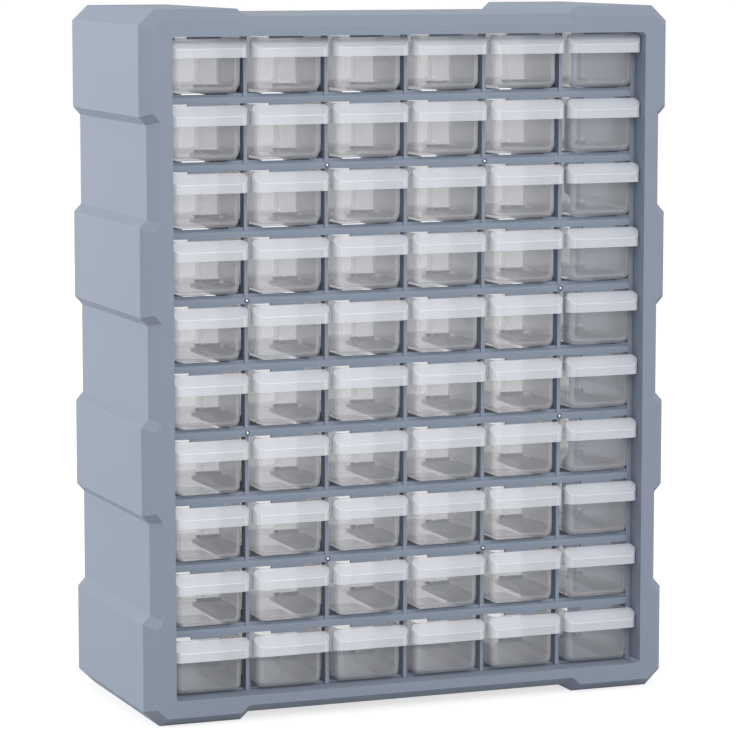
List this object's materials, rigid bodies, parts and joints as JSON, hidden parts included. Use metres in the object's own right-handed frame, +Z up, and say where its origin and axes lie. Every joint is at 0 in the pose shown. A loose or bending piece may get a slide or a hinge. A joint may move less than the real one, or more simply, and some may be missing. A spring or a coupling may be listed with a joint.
{
  "type": "parts bin cabinet",
  "caption": "Open-backed plastic cabinet with crenellated sides, whose grid holds small clear hooded drawers that slide out to the front.",
  "frame": {"origin": "middle of the base, at the surface that the cabinet stands on", "axes": "+Z up, +Y from the front to the open back, +X to the right as seen from the front"},
  "size_m": [0.38, 0.16, 0.475],
  "materials": {
    "cabinet_plastic": "fine satin, blue-grey",
    "drawer_plastic": "clear, slightly milky",
    "screw_metal": "bright"
  },
  "bodies": {
    "cabinet": {"casing": "cabinet_plastic", "shelves": "cabinet_plastic", "divider_posts": "cabinet_plastic", "grid_screws": "screw_metal"},
    "drawer_r01_c1": {"drawer_r01_c1": "drawer_plastic"},
    "drawer_r01_c2": {"drawer_r01_c2": "drawer_plastic"},
    "drawer_r01_c3": {"drawer_r01_c3": "drawer_plastic"},
    "drawer_r01_c4": {"drawer_r01_c4": "drawer_plastic"},
    "drawer_r01_c5": {"drawer_r01_c5": "drawer_plastic"},
    "drawer_r01_c6": {"drawer_r01_c6": "drawer_plastic"},
    "drawer_r02_c1": {"drawer_r02_c1": "drawer_plastic"},
    "drawer_r02_c2": {"drawer_r02_c2": "drawer_plastic"},
    "drawer_r02_c3": {"drawer_r02_c3": "drawer_plastic"},
    "drawer_r02_c4": {"drawer_r02_c4": "drawer_plastic"},
    "drawer_r02_c5": {"drawer_r02_c5": "drawer_plastic"},
    "drawer_r02_c6": {"drawer_r02_c6": "drawer_plastic"},
    "drawer_r03_c1": {"drawer_r03_c1": "drawer_plastic"},
    "drawer_r03_c2": {"drawer_r03_c2": "drawer_plastic"},
    "drawer_r03_c3": {"drawer_r03_c3": "drawer_plastic"},
    "drawer_r03_c4": {"drawer_r03_c4": "drawer_plastic"},
    "drawer_r03_c5": {"drawer_r03_c5": "drawer_plastic"},
    "drawer_r03_c6": {"drawer_r03_c6": "drawer_plastic"},
    "drawer_r04_c1": {"drawer_r04_c1": "drawer_plastic"},
    "drawer_r04_c2": {"drawer_r04_c2": "drawer_plastic"},
    "drawer_r04_c3": {"drawer_r04_c3": "drawer_plastic"},
    "drawer_r04_c4": {"drawer_r04_c4": "drawer_plastic"},
    "drawer_r04_c5": {"drawer_r04_c5": "drawer_plastic"},
    "drawer_r04_c6": {"drawer_r04_c6": "drawer_plastic"},
    "drawer_r05_c1": {"drawer_r05_c1": "drawer_plastic"},
    "drawer_r05_c2": {"drawer_r05_c2": "drawer_plastic"},
    "drawer_r05_c3": {"drawer_r05_c3": "drawer_plastic"},
    "drawer_r05_c4": {"drawer_r05_c4": "drawer_plastic"},
    "drawer_r05_c5": {"drawer_r05_c5": "drawer_plastic"},
    "drawer_r05_c6": {"drawer_r05_c6": "drawer_plastic"},
    "drawer_r06_c1": {"drawer_r06_c1": "drawer_plastic"},
    "drawer_r06_c2": {"drawer_r06_c2": "drawer_plastic"},
    "drawer_r06_c3": {"drawer_r06_c3": "drawer_plastic"},
    "drawer_r06_c4": {"drawer_r06_c4": "drawer_plastic"},
    "drawer_r06_c5": {"drawer_r06_c5": "drawer_plastic"},
    "drawer_r06_c6": {"drawer_r06_c6": "drawer_plastic"},
    "drawer_r07_c1": {"drawer_r07_c1": "drawer_plastic"},
    "drawer_r07_c2": {"drawer_r07_c2": "drawer_plastic"},
    "drawer_r07_c3": {"drawer_r07_c3": "drawer_plastic"},
    "drawer_r07_c4": {"drawer_r07_c4": "drawer_plastic"},
    "drawer_r07_c5": {"drawer_r07_c5": "drawer_plastic"},
    "drawer_r07_c6": {"drawer_r07_c6": "drawer_plastic"},
    "drawer_r08_c1": {"drawer_r08_c1": "drawer_plastic"},
    "drawer_r08_c2": {"drawer_r08_c2": "drawer_plastic"},
    "drawer_r08_c3": {"drawer_r08_c3": "drawer_plastic"},
    "drawer_r08_c4": {"drawer_r08_c4": "drawer_plastic"},
    "drawer_r08_c5": {"drawer_r08_c5": "drawer_plastic"},
    "drawer_r08_c6": {"drawer_r08_c6": "drawer_plastic"},
    "drawer_r09_c1": {"drawer_r09_c1": "drawer_plastic"},
    "drawer_r09_c2": {"drawer_r09_c2": "drawer_plastic"},
    "drawer_r09_c3": {"drawer_r09_c3": "drawer_plastic"},
    "drawer_r09_c4": {"drawer_r09_c4": "drawer_plastic"},
    "drawer_r09_c5": {"drawer_r09_c5": "drawer_plastic"},
    "drawer_r09_c6": {"drawer_r09_c6": "drawer_plastic"},
    "drawers_r10_left": {"drawers_r10_left": "drawer_plastic"},
    "drawers_r10_right": {"drawers_r10_right": "drawer_plastic"}
  },
  "joints": [
    {"name": "slide_r01_c1", "type": "slide", "parent": "cabinet", "child": "drawer_r01_c1", "axis": [0, -1, 0], "range_m": [0, 0.077]},
    {"name": "slide_r01_c2", "type": "slide", "parent": "cabinet", "child": "drawer_r01_c2", "axis": [0, -1, 0], "range_m": [0, 0.077]},
    {"name": "slide_r01_c3", "type": "slide", "parent": "cabinet", "child": "drawer_r01_c3", "axis": [0, -1, 0], "range_m": [0, 0.077]},
    {"name": "slide_r01_c4", "type": "slide", "parent": "cabinet", "child": "drawer_r01_c4", "axis": [0, -1, 0], "range_m": [0, 0.077]},
    {"name": "slide_r01_c5", "type": "slide", "parent": "cabinet", "child": "drawer_r01_c5", "axis": [0, -1, 0], "range_m": [0, 0.077]},
    {"name": "slide_r01_c6", "type": "slide", "parent": "cabinet", "child": "drawer_r01_c6", "axis": [0, -1, 0], "range_m": [0, 0.077]},
    {"name": "slide_r02_c1", "type": "slide", "parent": "cabinet", "child": "drawer_r02_c1", "axis": [0, -1, 0], "range_m": [0, 0.077]},
    {"name": "slide_r02_c2", "type": "slide", "parent": "cabinet", "child": "drawer_r02_c2", "axis": [0, -1, 0], "range_m": [0, 0.077]},
    {"name": "slide_r02_c3", "type": "slide", "parent": "cabinet", "child": "drawer_r02_c3", "axis": [0, -1, 0], "range_m": [0, 0.077]},
    {"name": "slide_r02_c4", "type": "slide", "parent": "cabinet", "child": "drawer_r02_c4", "axis": [0, -1, 0], "range_m": [0, 0.077]},
    {"name": "slide_r02_c5", "type": "slide", "parent": "cabinet", "child": "drawer_r02_c5", "axis": [0, -1, 0], "range_m": [0, 0.077]},
    {"name": "slide_r02_c6", "type": "slide", "parent": "cabinet", "child": "drawer_r02_c6", "axis": [0, -1, 0], "range_m": [0, 0.077]},
    {"name": "slide_r03_c1", "type": "slide", "parent": "cabinet", "child": "drawer_r03_c1", "axis": [0, -1, 0], "range_m": [0, 0.077]},
    {"name": "slide_r03_c2", "type": "slide", "parent": "cabinet", "child": "drawer_r03_c2", "axis": [0, -1, 0], "range_m": [0, 0.077]},
    {"name": "slide_r03_c3", "type": "slide", "parent": "cabinet", "child": "drawer_r03_c3", "axis": [0, -1, 0], "range_m": [0, 0.077]},
    {"name": "slide_r03_c4", "type": "slide", "parent": "cabinet", "child": "drawer_r03_c4", "axis": [0, -1, 0], "range_m": [0, 0.077]},
    {"name": "slide_r03_c5", "type": "slide", "parent": "cabinet", "child": "drawer_r03_c5", "axis": [0, -1, 0], "range_m": [0, 0.077]},
    {"name": "slide_r03_c6", "type": "slide", "parent": "cabinet", "child": "drawer_r03_c6", "axis": [0, -1, 0], "range_m": [0, 0.077]},
    {"name": "slide_r04_c1", "type": "slide", "parent": "cabinet", "child": "drawer_r04_c1", "axis": [0, -1, 0], "range_m": [0, 0.077]},
    {"name": "slide_r04_c2", "type": "slide", "parent": "cabinet", "child": "drawer_r04_c2", "axis": [0, -1, 0], "range_m": [0, 0.077]},
    {"name": "slide_r04_c3", "type": "slide", "parent": "cabinet", "child": "drawer_r04_c3", "axis": [0, -1, 0], "range_m": [0, 0.077]},
    {"name": "slide_r04_c4", "type": "slide", "parent": "cabinet", "child": "drawer_r04_c4", "axis": [0, -1, 0], "range_m": [0, 0.077]},
    {"name": "slide_r04_c5", "type": "slide", "parent": "cabinet", "child": "drawer_r04_c5", "axis": [0, -1, 0], "range_m": [0, 0.077]},
    {"name": "slide_r04_c6", "type": "slide", "parent": "cabinet", "child": "drawer_r04_c6", "axis": [0, -1, 0], "range_m": [0, 0.077]},
    {"name": "slide_r05_c1", "type": "slide", "parent": "cabinet", "child": "drawer_r05_c1", "axis": [0, -1, 0], "range_m": [0, 0.077]},
    {"name": "slide_r05_c2", "type": "slide", "parent": "cabinet", "child": "drawer_r05_c2", "axis": [0, -1, 0], "range_m": [0, 0.077]},
    {"name": "slide_r05_c3", "type": "slide", "parent": "cabinet", "child": "drawer_r05_c3", "axis": [0, -1, 0], "range_m": [0, 0.077]},
    {"name": "slide_r05_c4", "type": "slide", "parent": "cabinet", "child": "drawer_r05_c4", "axis": [0, -1, 0], "range_m": [0, 0.077]},
    {"name": "slide_r05_c5", "type": "slide", "parent": "cabinet", "child": "drawer_r05_c5", "axis": [0, -1, 0], "range_m": [0, 0.077]},
    {"name": "slide_r05_c6", "type": "slide", "parent": "cabinet", "child": "drawer_r05_c6", "axis": [0, -1, 0], "range_m": [0, 0.077]},
    {"name": "slide_r06_c1", "type": "slide", "parent": "cabinet", "child": "drawer_r06_c1", "axis": [0, -1, 0], "range_m": [0, 0.077]},
    {"name": "slide_r06_c2", "type": "slide", "parent": "cabinet", "child": "drawer_r06_c2", "axis": [0, -1, 0], "range_m": [0, 0.077]},
    {"name": "slide_r06_c3", "type": "slide", "parent": "cabinet", "child": "drawer_r06_c3", "axis": [0, -1, 0], "range_m": [0, 0.077]},
    {"name": "slide_r06_c4", "type": "slide", "parent": "cabinet", "child": "drawer_r06_c4", "axis": [0, -1, 0], "range_m": [0, 0.077]},
    {"name": "slide_r06_c5", "type": "slide", "parent": "cabinet", "child": "drawer_r06_c5", "axis": [0, -1, 0], "range_m": [0, 0.077]},
    {"name": "slide_r06_c6", "type": "slide", "parent": "cabinet", "child": "drawer_r06_c6", "axis": [0, -1, 0], "range_m": [0, 0.077]},
    {"name": "slide_r07_c1", "type": "slide", "parent": "cabinet", "child": "drawer_r07_c1", "axis": [0, -1, 0], "range_m": [0, 0.077]},
    {"name": "slide_r07_c2", "type": "slide", "parent": "cabinet", "child": "drawer_r07_c2", "axis": [0, -1, 0], "range_m": [0, 0.077]},
    {"name": "slide_r07_c3", "type": "slide", "parent": "cabinet", "child": "drawer_r07_c3", "axis": [0, -1, 0], "range_m": [0, 0.077]},
    {"name": "slide_r07_c4", "type": "slide", "parent": "cabinet", "child": "drawer_r07_c4", "axis": [0, -1, 0], "range_m": [0, 0.077]},
    {"name": "slide_r07_c5", "type": "slide", "parent": "cabinet", "child": "drawer_r07_c5", "axis": [0, -1, 0], "range_m": [0, 0.077]},
    {"name": "slide_r07_c6", "type": "slide", "parent": "cabinet", "child": "drawer_r07_c6", "axis": [0, -1, 0], "range_m": [0, 0.077]},
    {"name": "slide_r08_c1", "type": "slide", "parent": "cabinet", "child": "drawer_r08_c1", "axis": [0, -1, 0], "range_m": [0, 0.077]},
    {"name": "slide_r08_c2", "type": "slide", "parent": "cabinet", "child": "drawer_r08_c2", "axis": [0, -1, 0], "range_m": [0, 0.077]},
    {"name": "slide_r08_c3", "type": "slide", "parent": "cabinet", "child": "drawer_r08_c3", "axis": [0, -1, 0], "range_m": [0, 0.077]},
    {"name": "slide_r08_c4", "type": "slide", "parent": "cabinet", "child": "drawer_r08_c4", "axis": [0, -1, 0], "range_m": [0, 0.077]},
    {"name": "slide_r08_c5", "type": "slide", "parent": "cabinet", "child": "drawer_r08_c5", "axis": [0, -1, 0], "range_m": [0, 0.077]},
    {"name": "slide_r08_c6", "type": "slide", "parent": "cabinet", "child": "drawer_r08_c6", "axis": [0, -1, 0], "range_m": [0, 0.077]},
    {"name": "slide_r09_c1", "type": "slide", "parent": "cabinet", "child": "drawer_r09_c1", "axis": [0, -1, 0], "range_m": [0, 0.077]},
    {"name": "slide_r09_c2", "type": "slide", "parent": "cabinet", "child": "drawer_r09_c2", "axis": [0, -1, 0], "range_m": [0, 0.077]},
    {"name": "slide_r09_c3", "type": "slide", "parent": "cabinet", "child": "drawer_r09_c3", "axis": [0, -1, 0], "range_m": [0, 0.077]},
    {"name": "slide_r09_c4", "type": "slide", "parent": "cabinet", "child": "drawer_r09_c4", "axis": [0, -1, 0], "range_m": [0, 0.077]},
    {"name": "slide_r09_c5", "type": "slide", "parent": "cabinet", "child": "drawer_r09_c5", "axis": [0, -1, 0], "range_m": [0, 0.077]},
    {"name": "slide_r09_c6", "type": "slide", "parent": "cabinet", "child": "drawer_r09_c6", "axis": [0, -1, 0], "range_m": [0, 0.077]},
    {"name": "slide_r10_left", "type": "slide", "parent": "cabinet", "child": "drawers_r10_left", "axis": [0, -1, 0], "range_m": [0, 0.077]},
    {"name": "slide_r10_right", "type": "slide", "parent": "cabinet", "child": "drawers_r10_right", "axis": [0, -1, 0], "range_m": [0, 0.077]}
  ]
}
